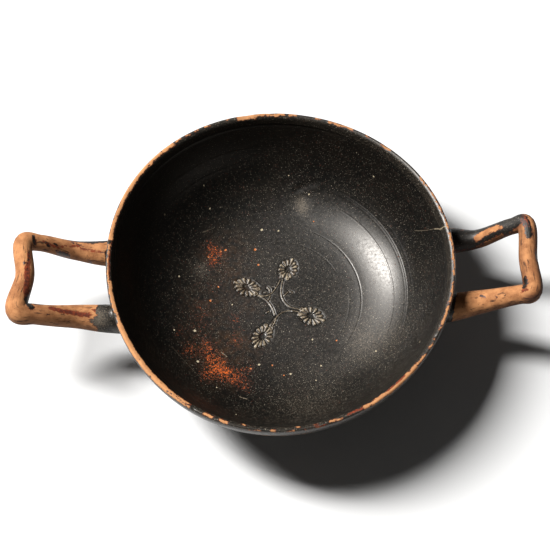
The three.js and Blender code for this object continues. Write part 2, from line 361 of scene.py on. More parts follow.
def turned_cup():
    """Vertices and triangles of the cup: stamped floor, then rings out, over and under."""
    x, y, faces, edge = floor_patch()
    raised, _ = stamp(x, y)
    r = np.hypot(x, y)
    angle = np.degrees(np.arctan2(y, x))
    z = bowl_height(r) + raised * (1 - smooth(STAMP_RADIUS - 1.2, STAMP_RADIUS, r))
    points = [np.stack([x, y, z + 0.06 * hand_ripple(angle, r, 3)], 1)]
    triangles = [faces]
    last, count = edge, len(x)
    for radius, height, number, where in profile():
        angle = np.arange(int(number)) * (360.0 / number)
        rr = np.full(angle.shape, radius)
        zz = np.full(angle.shape, height)
        if where == INSIDE:
            slope = bowl_slope(radius)
            lift = 0.06 * hand_ripple(angle, radius, 3) + inner_marks(angle, radius)
            length = math.hypot(slope, 1)
            rr, zz = rr - lift * slope / length, zz + lift / length
        if where in (LIP_RING, WALL):
            rr = rr + 0.05 * hand_ripple(angle, height, 8)
        if where == LIP_RING:
            s = across_lip(radius, height)
            for middle, half, depth in CHIPS:
                bite = depth * bell(around(angle, middle), 0, half) * bell(s, 0.1, 1.0)
                rr, zz = rr - 0.35 * bite, zz - bite
            zz = zz - 0.05 * smooth(-0.1, 0.4, rim_bare(angle, np.full(angle.shape, s)))
        rr = rr * out_of_round(angle, zz)
        turn = np.radians(angle)
        points.append(np.stack([rr * np.cos(turn), rr * np.sin(turn), zz], 1))
        ring = count + np.arange(int(number))
        triangles.append(stitch(last, ring))
        last, count = ring, count + int(number)
    points.append(np.array([[0, 0, RECESS - NIPPLE_DROP]]))
    tip = np.full(len(last), count)
    triangles.append(np.stack([last, tip, np.roll(last, -1)], 1))
    return np.concatenate(points), np.concatenate(triangles)


# Lines that the potter's tool left inside the wall: radius, from, to in degrees, height.
# The broad ones are in the shape; the thin ones are too fine for it and are in the finish.
WHEEL_LINES = ((36.2, -60, 70, 0.05), (50.1, -25, 55, -0.06), (56.4, -30, 60, -0.05),
               (43.0, 60, 150, -0.05), (62.5, -40, 200, 0.05))
TOOL_LINES = (
    (36.2, -60, 75, -0.45), (50.1, -30, 60, -0.35), (55.0, -30, 65, 0.2), (56.4, -35, 65, -0.35),
    (57.9, -35, 70, 0.2), (43.0, 60, 160, -0.2), (28.5, 20, 120, -0.2), (31.0, -70, 10, 0.2),
    (46.3, -80, -10, -0.2), (62.5, 40, 200, 0.25), (66.3, 60, 140, -0.3),
)
# Shallow dents in the wall: across, deep, radius, depth
DENTS = ((14.0, 50.0, 4.0, -0.16), (-38.0, -24.0, 9.0, -0.12))
CREASE = ((9.4, 51.3), (14.0, 52.8), (18.9, 53.5))  # where a nail caught the wet wall


def inner_marks(angle, radius):
    """Height of the tool lines, dents and the groove under the lip, square to the inside."""
    x, y = radius * np.cos(np.radians(angle)), radius * np.sin(np.radians(angle))
    lift = np.zeros(np.shape(angle))
    for line, start, end, height in WHEEL_LINES:
        ends = (end - start) / 2 - np.abs(around(angle, (start + end) / 2))
        lift = lift + height * bell(radius, line, 0.8) * smooth(0, 14, ends)
    for dx, dy, reach, depth in DENTS:
        lift = lift + depth * np.exp(-((x - dx) ** 2 + (y - dy) ** 2) / reach ** 2)
    nail = distance_to_path(x, y, CREASE)
    lift = lift + 0.14 * bell(nail, 1.9, 0.9) - 0.34 * bell(nail, 0, 0.9)
    return lift - 0.22 * bell(radius, INSIDE_TOP - 0.05, 0.18)


# ---- handles ----
# The rods were rolled and bent by hand, so the two differ. "back" is the +Y arm.
ROOT_Z, CORNER_Z = 31.5, 48.0
ROOT_INSIDE, ROOT_OUTSIDE, ROOT_SLOPE = 15, 4, 0.1  # reach in and out of the wall, rise over run
HANDLES = (
    dict(side=-1, bow=1.8,
         back=dict(root=(71, 17.2), middle=(88, 17.8, 34.5), knee=(102.5, 17.3, 44.5),
                   corner=(109.3, 16.0)),
         front=dict(root=(69, 14.0), middle=(88, 13.6, 34.5), knee=(104.5, 16.2, 44.5),
                    corner=(112.2, 15.8)),
         widths=(13.6, 10.8, 8.2, 6.9, 8.4, 8.1, 9.7, 8.6, 9.9, 12.2, 15.0)),
    dict(side=1, bow=0.2,
         back=dict(root=(71, 17.1), middle=(87, 16.4, 34.5), knee=(101.5, 17.2, 44.5),
                   corner=(106.9, 16.3)),
         front=dict(root=(69, 14.6), middle=(89, 13.6, 35.5), knee=(102.5, 15.4, 45.0),
                    corner=(106.9, 15.8)),
         widths=(13.4, 11.4, 7.9, 7.0, 8.0, 8.1, 8.4, 7.9, 9.5, 12.1, 15.0)),
)
ROD_STEPS, ROD_SIDES = 114, 32
ROD_FLATNESS = 1.04  # height of the section over its width
ROD_FULLNESS = 2.25  # power of its outline: 2 is an ellipse, more is squarer


def handle_path(handle, t):
    """Centre line: out along the back arm, across the bar, and in along the front arm."""
    def arm(one, hand):
        (rx, ry), (cx, cy) = one["root"], one["corner"]
        stations = [(rx - ROOT_INSIDE, ry, ROOT_Z - ROOT_INSIDE * ROOT_SLOPE),
                    (rx + ROOT_OUTSIDE, ry, ROOT_Z + ROOT_OUTSIDE * ROOT_SLOPE),
                    one["middle"], one["knee"], (cx, cy, CORNER_Z)]
        return [(handle["side"] * a, hand * b, c) for a, b, c in stations]
    reach = (handle["back"]["corner"][0] + handle["front"]["corner"][0]) / 2 - handle["bow"]
    middle = [(handle["side"] * reach, 0.0, CORNER_Z)]
    return through(arm(handle["back"], 1) + middle + arm(handle["front"], -1)[::-1], t)


def rod_width(handle, t):
    """Full width at each station of the path, back root to front root, with a curve through them."""
    stations = np.linspace(0, 1, len(handle["widths"]))
    return through(np.stack([handle["widths"], stations], 1), t)[..., 0]


def rod(handle, t, turn):
    """Surface of the rod at share t along it and angle turn round it.

    Its section is a soft-cornered oval, a little higher than wide, with a slight ridge along the
    top, and slow waves in its size stand for the squeeze of the fingers that shaped it."""
    centre = handle_path(handle, t)
    along = handle_path(handle, np.minimum(t + 2e-3, 1)) - handle_path(handle, np.maximum(t - 2e-3, 0))
    along /= np.linalg.norm(along, axis=-1, keepdims=True)
    side = np.cross([0.0, 0.0, 1.0], along)
    side /= np.linalg.norm(side, axis=-1, keepdims=True)
    up = np.cross(along, side)
    half = rod_width(handle, t) / 2
    squeeze = 1 + 0.012 * np.sin(31 * t + 2 * turn + handle["side"]) + 0.01 * np.sin(57 * t - turn)
    c, s = np.cos(turn), np.sin(turn)
    soft = (np.abs(c) ** ROD_FULLNESS + np.abs(s) ** ROD_FULLNESS) ** (-1 / ROD_FULLNESS)
    ridge = 1 + 0.04 * bell(np.degrees(turn), 90, 24)
    size = (half * soft * squeeze)[..., None]
    return centre + side * size * c[..., None] + up * size * (ROD_FLATNESS * ridge * s)[..., None]


def middle_of_wall(z):
    """Radius half way through the wall at height z."""
    r = np.linspace(30, MOUTH, 300)
    out_r, out_z = outside(r)
    return np.interp(z, (bowl_height(r) + out_z) / 2, (r + out_r) / 2)


def handle_mesh(handle):
    """The rod as a grid whose two end rings lie in the middle of the wall, with a fan over each."""
    turn = np.arange(ROD_SIDES) * (2 * np.pi / ROD_SIDES)
    fine = np.linspace(0, 1, 801)
    tt, aa = np.meshgrid(fine, turn, indexing="ij")
    p = rod(handle, tt, aa)
    angle = np.degrees(np.arctan2(p[..., 1], p[..., 0]))
    clear = np.hypot(p[..., 0], p[..., 1]) / out_of_round(angle, p[..., 2]) > middle_of_wall(p[..., 2])
    first = fine[np.argmax(clear, axis=0)]
    last = fine[len(fine) - 1 - np.argmax(clear[::-1], axis=0)]
    share = np.linspace(0, 1, ROD_STEPS + 1)
    share = share + 0.035 * np.sin(4 * np.pi * share)  # a little closer at the corners
    t = first + (last - first) * share[:, None]
    p = rod(handle, t, np.broadcast_to(turn, t.shape)).reshape(-1, 3)
    index = np.arange(len(p)).reshape(-1, ROD_SIDES)
    a, b = index[:-1], index[1:]
    a1, b1 = np.roll(a, -1, 1), np.roll(b, -1, 1)
    faces = [np.stack([a, a1, b1], -1).reshape(-1, 3), np.stack([a, b1, b], -1).reshape(-1, 3)]
    ends = np.array([p[index[0]].mean(0), p[index[-1]].mean(0)])
    for ring, tip, flip in ((index[0], len(p), True), (index[-1], len(p) + 1, False)):
        fan = np.stack([ring, np.roll(ring, -1), np.full(len(ring), tip)], 1)
        faces.append(fan[:, ::-1] if flip else fan)
    return np.concatenate([p, ends]), np.concatenate(faces)


# ---- Blender meshes ----
def make_piece(name, points, triangles):
    """A mesh object from arrays of points in millimetres about the bowl's axis."""
    mesh = bpy.data.meshes.new(name)
    mesh.from_pydata(points.tolist(), [], triangles.tolist())
    mesh.update()
    piece = bpy.data.objects.new(name, mesh)
    bpy.context.scene.collection.objects.link(piece)
    return piece


def outward(points, triangles):
    """The triangles turned, if they need it, so that the closed shape's volume is positive."""
    a, b, c = (points[triangles[:, k]] for k in range(3))
    volume = np.einsum("ij,ij->i", a, np.cross(b, c)).sum()
    return triangles if volume > 0 else triangles[:, ::-1]


def positions(mesh):
    co = np.empty(len(mesh.vertices) * 3, np.float32)
    mesh.vertices.foreach_get("co", co)
    return co.reshape(-1, 3).astype(float)


def relax(mesh, seam, reach, rounds):
    """Smears the clay over a joint: points near the seam move towards their neighbours' mean.

    The share of the way that a point moves falls from a half at the seam to nothing at reach."""
    co = positions(mesh)
    near = np.where((np.abs(co[:, None, :] - seam[None, ::40]).max(-1) < reach + 14).any(1))[0]
    gap = np.sqrt(((co[near][:, None, :] - seam[None]) ** 2).sum(-1)).min(1)
    weight = np.zeros(len(co))
    weight[near] = 0.5 * (1 - smooth(0.35 * reach, reach, gap))
    edges = np.empty(len(mesh.edges) * 2, np.int32)
    mesh.edges.foreach_get("vertices", edges)
    a, b = edges.reshape(-1, 2).T
    keep = (weight[a] > 0) | (weight[b] > 0)
    a, b = a[keep], b[keep]
    count = np.bincount(a, minlength=len(co)) + np.bincount(b, minlength=len(co))
    for _ in range(rounds):
        total = np.stack([np.bincount(a, co[b, k], len(co)) + np.bincount(b, co[a, k], len(co))
                          for k in range(3)], 1)
        mean = total / np.maximum(count, 1)[:, None]
        co += np.where(count[:, None] > 0, (mean - co) * weight[:, None], 0)
    mesh.vertices.foreach_set("co", co.astype(np.float32).ravel())
    mesh.update()


def joined_cup():
    """The turned cup and both handles as one closed skin, with the clay smeared at the joints."""
    points, triangles = turned_cup()
    cup = make_piece("kylix_body", points, outward(points, triangles))
    known = [points]
    for handle in HANDLES:
        p, f = handle_mesh(handle)
        arm = make_piece("arm", p, outward(p, f))
        known.append(p)
        union = cup.modifiers.new("lute", "BOOLEAN")
        union.operation, union.solver, union.object = "UNION", "MANIFOLD", arm
        bpy.context.view_layer.update()
        mesh = bpy.data.meshes.new_from_object(cup.evaluated_get(bpy.context.evaluated_depsgraph_get()))
        cup.modifiers.clear()
        cup.data = mesh
        bpy.data.objects.remove(arm)
    co = positions(cup.data)
    key = lambda p: np.round(p * 500).astype(np.int64) @ np.array([1, 1 << 20, 1 << 40])
    seam = co[~np.isin(key(co), key(np.concatenate(known).astype(np.float32).astype(float)))]
    relax(cup.data, seam, reach=4.5, rounds=24)
    return cup


# ---- wear and stains ----
FIELDS = ("bare", "wash", "rust", "umber", "dust", "stamp", "handle", "painted_shade")
STREAK_TURN = 9
LIP_FROM, WALL_TO = 43, 75.7  # height where the lip starts, radius where the handles start
UNDERSIDE = -0.35  # a surface that faces down more than this is out of reach of the strokes
# Each stroke is a path over the handle seen from above, and half its width in millimetres.
# Gloss that is left on the worn handles
HANDLE_GLOSS = (
    (((68, 16.4), (82, 16.7), (92, 17.3), (99, 18.5), (105, 20.3)), 4.9),
    (((98, 17.8), (103.4, 19.1)), 4.4), (((107, 22.5), (111.5, 20.5), (114.5, 15), (114, 9)), 2.4),
    (((105.6, 18.6), (106.5, 15.6), (107.3, 12.0), (107.4, 8.6)), 1.6),
    (((107.6, 8.0), (110.0, 7.6)), 0.6), (((109.6, 2.5), (110.3, -3.5)), 0.45),
    (((104.1, -10.3), (104.4, -12.8), (103.4, -14.7)), 0.85), (((103.7, 5.0), (103.9, 5.3)), 0.4),
    (((103.4, -4.0), (103.6, -4.2)), 0.3), (((85.8, -12.8), (87.6, -14.1)), 0.6),
    (((92.0, -15.4), (92.3, -15.7)), 0.5), (((-60, -18), (-60, -19.5)), 20.4),
    (((-79, -17.2), (-81.8, -17.0)), 0.8), (((-79, -21.6), (-81.2, -22)), 0.7),
    (((-105, 24.2), (-92, 23.2), (-83, 22.7), (-75, 22.7)), 2.7), (((-81.9, 20.2), (-77.1, 20.8)), 0.8),
    (((-89.4, 19.2), (-85.1, 18.2)), 0.4), (((-99.9, 16.0), (-98.9, 15.3)), 0.7),
    (((-96.7, 16.5), (-95.4, 16.4)), 0.35), (((-95.9, 14.4), (-90.8, 14.2)), 0.4),
    (((-82.6, 13.0), (-81.9, 12.7)), 0.35), (((-77.0, 15.4), (-76.2, 15.2)), 0.4),
    (((-105.1, 17.7), (-104.6, 15.2)), 0.8), (((-104.0, 10.4), (-103.6, 2.5), (-104.4, -5.6)), 1.0),
    (((-106.6, -8.9), (-105.9, -11.8)), 1.0),
    (((-107.9, -12.0), (-107.0, -13.8), (-105.7, -15.4)), 1.25), (((-104.4, -12.8), (-98, -11.0)), 0.7),
    (((-107.2, 11.2), (-106.9, 8.6), (-107.3, 4.0), (-108.0, 0.2)), 0.42),
    (((-108.5, 5.7), (-108.7, 4.9)), 0.6), (((-108.7, 3.3), (-108.6, 2.6)), 0.35),
    (((-112.1, 19.8), (-112.0, 19.7)), 0.35), (((-111.3, 11.9), (-111.2, 11.7)), 0.3),
    (((-111.9, -2.4), (-112, -2.6)), 0.35), (((-114.9, -7), (-114.9, -7.2)), 0.35),
    (((-112.9, -12.6), (-112.6, -12.3)), 0.4), (((-99.6, -17.7), (-99.3, -17.6)), 0.35),
    (((-107.8, 24), (-112.5, 22.5)), 0.9),
)
# Patches worn through in it
HANDLE_BARE = (
    (((86.7, 15.0), (90.5, 16.4), (94.6, 16.9)), 1.35), (((80, 10.1), (89, 11.7), (97, 13.1)), 1.0),
    (((96.0, 16.6), (97.0, 16.2)), 0.5),
    (((106.9, 20.0), (109.6, 18.0), (110.4, 13.8), (110.6, 9)), 1.2),
    (((112.2, 12.0), (112.0, 4.0)), 0.8), (((-81, -14.6), (-79.2, -14.9)), 0.55),
    (((-81, -19.5), (-79.6, -19.3)), 0.5), (((90, 22.4), (94, 22.5)), 0.5),
    (((80.5, 19.9), (80.9, 20.0)), 0.35),
)
# Thin red-brown remains of the slip
HANDLE_WASH = (
    (((-107.4, 2.4), (-107.6, -2), (-107.7, -5.5), (-107.9, -9.8)), 1.25),
    (((-98.0, -14.0), (-94, -14.5), (-90, -14.3), (-86.4, -14.6), (-82.4, -14.9)), 1.15),
    (((-104.8, -14.9), (-98.5, -14.3)), 0.3), (((-80.9, -12.9), (-79.2, -12.4)), 0.8),
    (((104.3, -16.2), (102.7, -16.3)), 0.8), (((105.4, 17.8), (106.8, 13.4)), 1.3),
    (((-107.0, 9.5), (-106.6, 5.1)), 0.7), (((-101, 16.8), (-96, 15.6), (-92, 17)), 0.55),
    (((-90, 17.3), (-86.5, 18)), 0.6), (((-85.5, 16.9), (-81.7, 16.3), (-77, 15.5)), 0.6),
)
# Soft spots in the bowl: x, y, reach, amount
RUST_SPOTS = (
    (-28.5, 24, 3.8, 0.95), (-28.0, 19, 3.5, 0.75), (-30, 28, 3, 0.55), (-23.6, 24.8, 1.8, 0.6),
    (-34, -3.5, 7, 0.38), (-44.5, -14.5, 3, 0.6), (-40.5, -23.5, 3.4, 0.95), (-33, -20, 4.5, 0.72),
    (-31, -27, 5, 0.88), (-27.5, -32.5, 5.0, 1.3), (-22.5, -36, 4.5, 1.0), (-17, -39.5, 4.3, 0.66),
    (-14.8, -32, 3.2, 0.7), (-33, -36.5, 4, 0.72), (-19.5, -8.5, 3, 0.75), (-19.5, -18.5, 4.2, 0.66),
    (-16, -43, 3, 0.35), (-36, -11, 5, 0.35), (-30, 10, 9, 0.22),
)
UMBER_SPOTS = (
    (-21, -18, 5, 0.95), (-29, -27, 9, 0.6), (-24, -35, 8, 0.5), (-36, -20, 8, 0.35),
    (-19.8, 12.7, 5, 0.35), (-13, -3, 4, 0.4), (-27, 22, 8, 0.5), (-30, -2, 11, 0.42), (-16, 8, 8, 0.3),
    (-18, 26, 8, 0.3), (-12, -22, 7, 0.3),
)
DUST_SPOTS = (
    (34, -30, 26, 0.4), (8, -52, 18, 0.45), (46, -10, 18, 0.25), (0, 0, 34, 0.22), (36, -23, 8, 0.15),
    (49, -22, 7, 0.12), (-34.5, 16, 4.5, 0.62), (11.4, 46.6, 3.6, 0.62), (12.4, 42.6, 3.6, 0.62),
    (17, 37, 2.0, 0.4), (-10, 20, 16, 0.18), (21, -25, 6, -0.2), (32, -42, 6, -0.16),
    (8, -43, 6, -0.16), (20, 30, 20, 0.15), (-79, -16, 6.5, 1.1), (78, 16, 3.5, 0.4),
    (101, 18, 5, 0.45), (-79, 18, 3.5, 0.5),
)
# Pits: x, y in the bowl, and radius in millimetres; their edges wander by half of the shake
PIT_SHAKE = 0.7
ORANGE_PITS = (
    (-9.9, 25.1, 0.62), (-8.7, 17.7, 0.45), (-30.5, 0.9, 0.5), (-26.8, 7.5, 0.4), (-23, 25.1, 0.5),
    (-25.2, 24.5, 0.42), (-30.8, 21.8, 0.4), (-4.4, -31.1, 0.42), (0.4, -36.3, 0.4),
    (-13.9, -32.4, 0.45), (16.9, 37.2, 0.35), (24.2, -20.5, 0.4),
)
PALE_PITS = (
    (-44, 11.9, 0.45), (-37.8, -13.9, 0.55), (-36.8, -29.2, 0.55), (-46.7, -14.2, 0.42),
    (-6.5, 34.4, 0.5), (0.9, 33.7, 0.4), (-10.2, -30.6, 0.5), (-28.9, -42.4, 0.35), (-21, -1.2, 0.35),
    (13.7, -19.4, 0.45), (58.9, -31.6, 0.45), (16.8, -32.4, 0.4), (14.2, -39.6, 0.35), (40.9, -28, 0.4),
    (3.3, -35.7, 0.5), (-29.4, 43.4, 0.4), (-49.3, 37.4, 0.4), (-31.7, 51.8, 0.45), (36.7, 58.6, 0.5),
    (43.9, 49.5, 0.45), (6.5, 56.9, 0.35), (15.2, 49, 0.35), (-20.9, -58.3, 0.4),
)


def inside_strokes(x, y, strokes):
    """Distance inside the nearest stroke, in millimetres: positive within its half width."""
    best = np.full(x.shape, -9.0)
    for path, half in strokes:
        best = np.maximum(best, half - distance_to_path(x, y, path))
    return best


def soft_spots(x, y, spots):
    """Sum of round spots, each falling off as a bell curve over its reach."""
    return sum(amount * np.exp(-((x - sx) ** 2 + (y - sy) ** 2) / reach ** 2)
               for sx, sy, reach, amount in spots)


def streak_places(x, y, z, r, angle, on_handle):
    """Places squeezed along the way the clay was worked, so that a noise read there runs in streaks.

    On the cup: STREAK_TURN times the heading, and the radius. On a handle: a seventh of the
    distance along the rod, then the distances across and above its centre line."""
    turn = np.radians(angle)
    places = np.stack([STREAK_TURN * np.cos(turn), STREAK_TURN * np.sin(turn), r], 1)
    for handle in HANDLES:
        mine = np.where(on_handle & (np.sign(x) == handle["side"]))[0]
        t = np.linspace(0, 1, 401)
        line = handle_path(handle, t)
        along = np.append(0, np.cumsum(np.linalg.norm(np.diff(line, axis=0), axis=1)))
        here = np.stack([x[mine], y[mine], z[mine]], 1)
        near = ((here[:, None] - line[None]) ** 2).sum(-1).argmin(1)
        way = np.gradient(line, axis=0)
        way /= np.linalg.norm(way, axis=1, keepdims=True)
        side = np.cross([0.0, 0.0, 1.0], way)
        off = here - line[near]
        across = (off * side[near]).sum(1)
        places[mine] = np.stack([along[near] / 7 + 40 * handle["side"], across, off[:, 2]], 1)
    return places


def worn_handles(x, y, up):
    """How bare the rods are: bare but for the strokes of gloss, and bare again in the patches.

    Undersides, which the strokes don't reach, take a slow ripple instead."""
    worn = np.minimum(2.0, -inside_strokes(x, y, HANDLE_GLOSS))
    worn = np.maximum(worn, inside_strokes(x, y, HANDLE_BARE))
    below = 1.1 * hand_ripple(3 * x + 40 * np.sign(x), 2.5 * y, 21) + 0.15
    return np.where(up < UNDERSIDE, below, worn)


def reserved_foot(r):
    """How bare the foot's inside is: the black dot and the black ring are its only paint."""
    dot, ring = 1.3 - r, 1.5 - np.abs(r - 25.5)
    return np.minimum(1.5, -np.maximum(dot, ring))


def add_fields(mesh):
    """Point attributes that say where the surface is bare, thin, rusty, dusty or stamped, and where
    shade is painted on it.
    """
    co = positions(mesh)
    x, y, z = co.T
    normal = np.empty(len(co) * 3, np.float32)
    mesh.vertex_normals.foreach_get("vector", normal)
    up = normal.reshape(-1, 3)[:, 2]
    angle = np.degrees(np.arctan2(y, x)) % 360
    r = np.hypot(x, y) / out_of_round(angle, z)
    on_lip = (z > LIP_FROM) & (r < 77)
    on_handle = (r > WALL_TO) & (z > 24)
    across = across_lip(r, z)

    # Bare clay: lip, handles with a black edge at the joints, a front streak and the foot
    bare = np.where(on_lip, rim_bare(angle, across), -2.0)
    worn = worn_handles(x, y, up)
    at_joint = np.where(r < 78, np.minimum(worn, (r - 76.4) * 1.2), worn)
    bare = np.where(on_handle & ~on_lip, at_joint, bare)
    bare = np.where(on_handle & on_lip & (r > 76.2), worn, bare)
    inner = bowl_height(np.minimum(r, INSIDE_TOP))
    wall = (z < np.minimum(45, inner - 1)) & (z > 30) & (r < WALL_TO)
    taper = 1 - (around(angle, 268) / 19) ** 2
    front = 1.8 * taper + 0.4 * np.sin(np.radians(29 * angle)) - np.abs(z - 41.6)
    bare = np.where(wall, np.clip(0.45 * front, -2, 1), bare)
    resting = (z < 0.35) & (r > 31)
    bare = np.where((z < 9.3) & (r < 31.2), reserved_foot(r), np.where(resting, 1.5, bare))

    # Painted shade: darker clay under the rods, down the outer face of the +X bar, which faces away
    # from the lamp, and a little on the lip towards +X; stronger on the +X handle, in the bowl's shadow
    # painted shade on faces that look down, set by the normal's height
    painted_shade = smooth(0.6, -0.3, up) * np.where(x > 0, 1.0, 0.7)
    # painted shade on the outer side of the +X bar, away from the lamp
    painted_shade = np.maximum(painted_shade, smooth(101, 106.5, x) * smooth(0.95, 0.6, up))
    # painted shade only on the handles and, weaker, on the lip towards +X
    painted_shade = np.where(on_handle, painted_shade, np.where(on_lip, 0.3 * smooth(-55, 10, x), 0))

    # Thin red-brown slip
    wash = np.where(on_handle & (up > UNDERSIDE), inside_strokes(x, y, HANDLE_WASH), -9.0)
    for middle, half, edge in RIM_REDDENED:
        reddened = np.minimum(half - np.abs(around(angle, middle)), (edge - across) * 2)
        wash = np.where(on_lip & ~on_handle, np.maximum(wash, reddened), wash)
    wash = np.where(wall, 0.1, wash)

    inside = (z > bowl_height(np.minimum(r, 71.4)) - 0.8) & (r < 71.6) & (z > 12)
    dust = np.where(inside | (on_handle & (up > -0.2)), soft_spots(x, y, DUST_SPOTS), 0.5)
    stamped = np.where((r < STAMP_RADIUS) & (z > 12), stamp(x, y)[1], 0)
    values = (bare, wash, np.where(inside, soft_spots(x, y, RUST_SPOTS), 0),
              np.where(inside, soft_spots(x, y, UMBER_SPOTS), 0), dust, stamped,
              on_handle & (r > 77), painted_shade)
    for name, value in zip(FIELDS, values):
        field = mesh.attributes.new(name, "FLOAT", "POINT")
        field.data.foreach_set("value", np.asarray(value, np.float32))
    streaks = mesh.attributes.new("streaks", "FLOAT_VECTOR", "POINT")
    places = streak_places(x, y, z, r, angle, on_handle)
    streaks.data.foreach_set("vector", places.astype(np.float32).ravel())


# ---- materials ----
def colour(code):
    """sRGB hex to linear RGBA."""
    parts = [int(code[i:i + 2], 16) / 255 for i in (1, 3, 5)]
    return (*[c / 12.92 if c <= 0.04045 else ((c + 0.055) / 1.055) ** 2.4 for c in parts], 1.0)


def add(tree, kind, inputs=(), out=0, **settings):
    """Adds a node with its settings; fills its inputs with values or sockets; returns one output.

    inputs is a dict by name, or a list for the first ones in their order."""
    node = tree.nodes.new(kind)
    for name, value in settings.items():
        setattr(node, name, value)
    for key, value in inputs.items() if isinstance(inputs, dict) else enumerate(inputs):
        if isinstance(value, bpy.types.NodeSocket):
            tree.links.new(value, node.inputs[key])
        else:
            node.inputs[key].default_value = value
    return node.outputs[out] if len(node.outputs) else node


MATH, VECTOR, RANGE = "ShaderNodeMath", "ShaderNodeVectorMath", "ShaderNodeMapRange"
NOISE, CELLS = "ShaderNodeTexNoise", "ShaderNodeTexVoronoi"
MIX, FIELD = "ShaderNodeMix", "ShaderNodeAttribute"
COLOURS = dict(data_type="RGBA", out=2)
SOFT = dict(interpolation_type="SMOOTHSTEP")
TIMES, PLUS, MINUS, MOST, TIMES_PLUS = (
    dict(operation=name) for name in ("MULTIPLY", "ADD", "SUBTRACT", "MAXIMUM", "MULTIPLY_ADD"))
# Hairline scratches in the film: from, to, half width and how pale
SCRATCHES = (
    ((-26.5, -24.2), (-24.1, -26.4), 0.11, 0.8), ((-19.2, -47.1), (-16.0, -48.3), 0.11, 0.7),
    ((-47.8, -23.1), (-34.8, -39.0), 0.06, 0.22), ((-33.0, 33.0), (-27.8, 35.3), 0.08, 0.3),
    ((72.6, 15.6), (70.6, 16.3), 0.2, 0.9), ((70.8, 16.3), (68.2, 18.6), 0.14, 0.7),
    ((68.5, 18.5), (60.5, 23.3), 0.08, 0.3),
)


def scratch_marks(new, flat, broken):
    """Share of scratch: by the distance from the line between two points, and broken by a noise."""
    scratched = 0.0
    for (ax, ay), (bx, by), half, pale in SCRATCHES:
        square = (bx - ax) ** 2 + (by - ay) ** 2
        start = new(VECTOR, [flat, (ax, ay, 0)], **MINUS)
        share = new(VECTOR, [start, ((bx - ax) / square, (by - ay) / square, 0)], "Value",
                    operation="DOT_PRODUCT")
        share = new(RANGE, [share])
        along = new(VECTOR, {0: (bx - ax, by - ay, 0), 3: share}, operation="SCALE")
        gap = new(VECTOR, [start, along], "Value", operation="DISTANCE")
        mark = new(RANGE, [gap, half * 0.6, half * 1.6, pale, 0.0], **SOFT)
        scratched = new(MATH, [scratched, mark], **MOST)
    return new(MATH, [scratched, new(RANGE, [broken, 0.3, 0.5], **SOFT)], **TIMES)


def pit_marks(new, shaken, places):
    """Share of pit: by the distance from each pit's place on the inside of the bowl."""
    pitted = 0.0
    for x, y, size in places:
        spot = [value + PIT_SHAKE / 2 for value in (x, y, bowl_height(math.hypot(x, y)))]
        gap = new(VECTOR, [shaken, spot], "Value", operation="DISTANCE")
        pit = new(RANGE, [gap, size * 0.7, size * 1.2, 1.0, 0.0], **SOFT)
        pitted = new(MATH, [pitted, pit], **MOST)
    return pitted


def tool_marks(new, worked):
    """Height of the thin lines left by the potter's tool, each round part of the bowl."""
    circle = new("ShaderNodeSeparateXYZ", [worked], "Z")
    lines = 0.0
    for line, start, end, height in TOOL_LINES:
        middle, half = math.radians((start + end) / 2), math.radians((end - start) / 2)
        gap = new(MATH, [new(MATH, [circle, line], **MINUS)], operation="ABSOLUTE")
        mark = new(RANGE, [gap, 0.12, 0.5, height, 0.0], **SOFT)
        heading = (math.cos(middle) / STREAK_TURN, math.sin(middle) / STREAK_TURN, 0)
        facing = new(VECTOR, [worked, heading], "Value", operation="DOT_PRODUCT")
        reach = new(RANGE, [facing, math.cos(half), math.cos(half * 0.7)], **SOFT)
        lines = new(MATH, [mark, reach, lines], **TIMES_PLUS)
    return lines


